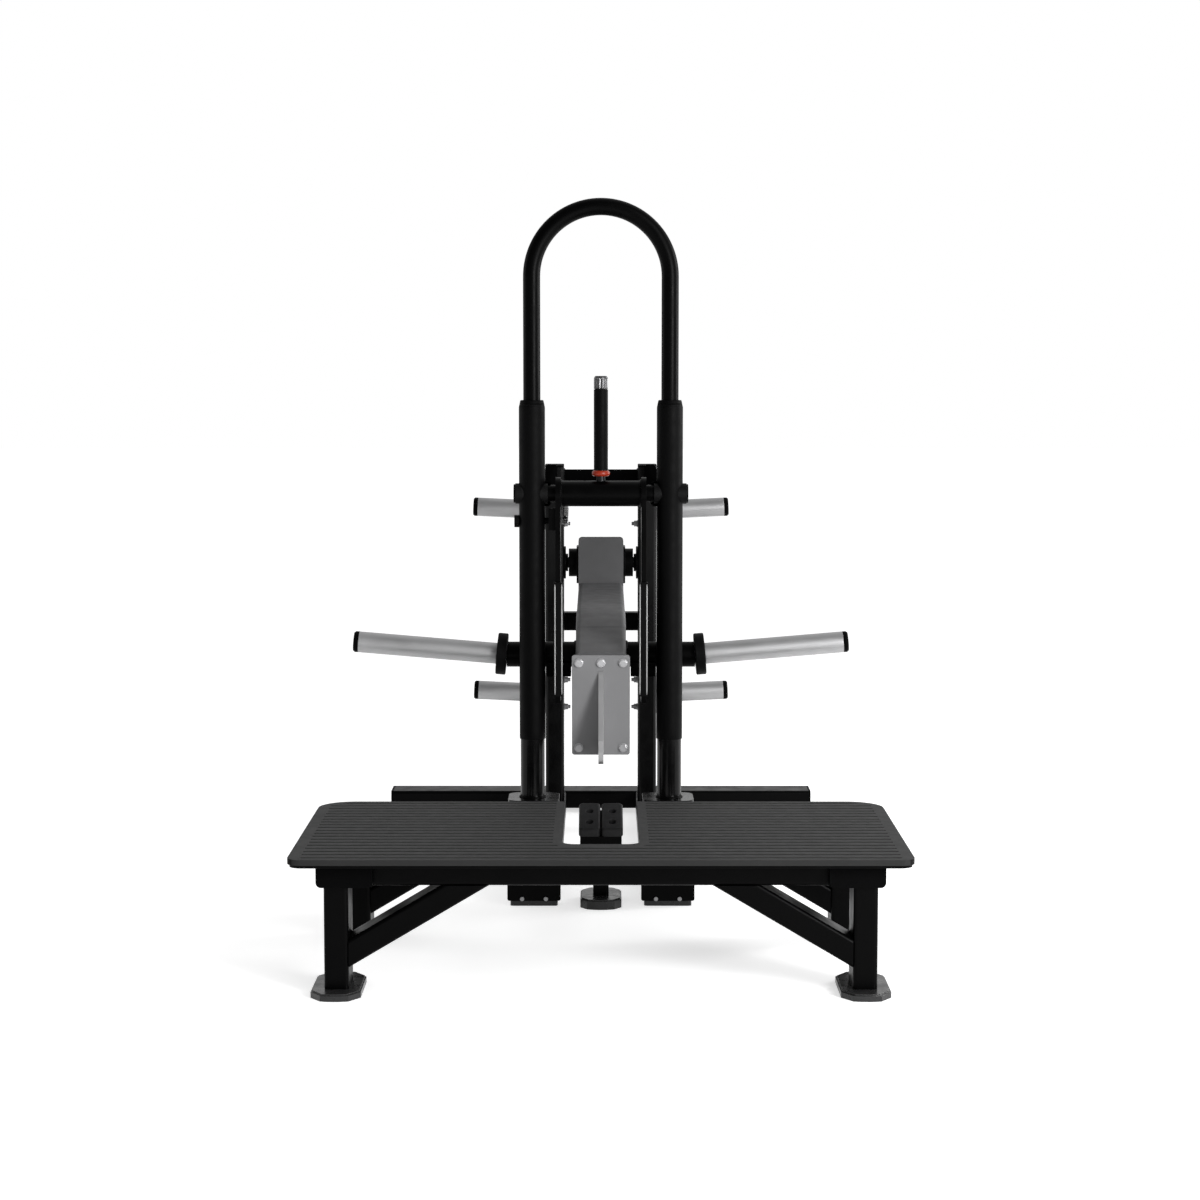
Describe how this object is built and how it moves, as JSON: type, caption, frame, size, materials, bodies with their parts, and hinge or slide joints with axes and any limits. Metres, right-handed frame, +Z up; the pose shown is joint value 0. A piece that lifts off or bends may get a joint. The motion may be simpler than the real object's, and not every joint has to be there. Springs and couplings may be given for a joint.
{
  "type": "belt squat machine",
  "caption": "Belt squat machine with a ribbed deck notched for the belt, a pivoting weight arm with plate horns, a hoop handle on posts, and a hand lever that unhooks the arm.",
  "frame": {"origin": "centre of the footprint on the floor, under the bottom centre of the bounding box", "axes": "+X to the right for someone who looks from the deck towards the posts, +Y from the deck to the rear floor beam, +Z up"},
  "size_m": [1.254, 2.308, 1.658],
  "materials": {
    "black_paint": "satin black powder coat",
    "arm_paint": "satin grey powder coat",
    "mat_rubber": "matt grey ribbed rubber",
    "foot_rubber": "matt dark grey rubber",
    "black_rubber": "matt black rubber",
    "sleeve_rubber": "fine matt black rubber",
    "cap_plastic": "matt black moulded plastic",
    "bare_steel": "satin zinc-plated steel",
    "orange_plastic": "orange-red moulded plastic"
  },
  "bodies": {
    "frame": {"deck_plate": "black_paint", "deck_mat": "mat_rubber", "front_rail": "black_paint", "rear_rails": "black_paint", "side_rail_left": "black_paint", "side_rail_right": "black_paint", "notch_rails": "black_paint", "deck_legs": "black_paint", "leg_braces": "black_paint", "rubber_feet": "foot_rubber", "tube_end_caps": "cap_plastic", "deck_links": "black_paint", "base_beam_left": "black_paint", "base_beam_right": "black_paint", "riser_left": "black_paint", "riser_right": "black_paint", "base_end_plates": "black_paint", "rear_beam": "black_paint", "base_pads": "foot_rubber", "front_cross_beam": "black_paint", "stop_post": "black_paint", "stop_mount": "black_paint", "stop_bumpers": "black_rubber", "rear_upright_left": "black_paint", "rear_upright_right": "black_paint", "mid_cross_member": "black_paint", "top_cross_member": "black_paint", "tie_left": "black_paint", "tie_right": "black_paint", "post_left": "black_paint", "post_right": "black_paint", "sleeve_left": "sleeve_rubber", "sleeve_right": "sleeve_rubber", "handle_hoop": "black_paint", "lever_axle": "bare_steel", "stop_pin": "black_rubber", "storage_horns_left": "bare_steel", "storage_horns_right": "bare_steel", "storage_horn_caps": "cap_plastic", "pivot_shaft": "bare_steel", "pivot_flanges": "black_paint", "frame_bolts": "bare_steel"},
    "arm": {"arm_beam": "arm_paint", "pivot_hub": "black_paint", "hub_bearings": "bare_steel", "horn_tube": "black_paint", "arm_horns": "bare_steel", "horn_collars": "black_rubber", "horn_end_caps": "cap_plastic", "belt_plate": "bare_steel", "belt_hook": "bare_steel", "belt_plate_bolts": "bare_steel"},
    "lever": {"lever_tube": "black_paint", "catch_plate_left": "black_paint", "catch_plate_right": "black_paint", "catch_pads": "black_rubber", "catch_guards": "black_rubber", "lever_stem": "black_paint", "lever_grip": "black_rubber", "grip_ring": "orange_plastic"}
  },
  "joints": [
    {"name": "arm_lift", "type": "hinge", "parent": "frame", "child": "arm", "pos_m": [0, 0.789, 0.735], "axis": [-1, 0, 0], "range_deg": [0, 18]},
    {"name": "lever_release", "type": "hinge", "parent": "frame", "child": "lever", "pos_m": [0, -0.172, 0.973], "axis": [-1, 0, 0], "range_deg": [0, 15], "stiffness_Nm_per_rad": 8, "springref_deg": -28.65}
  ]
}
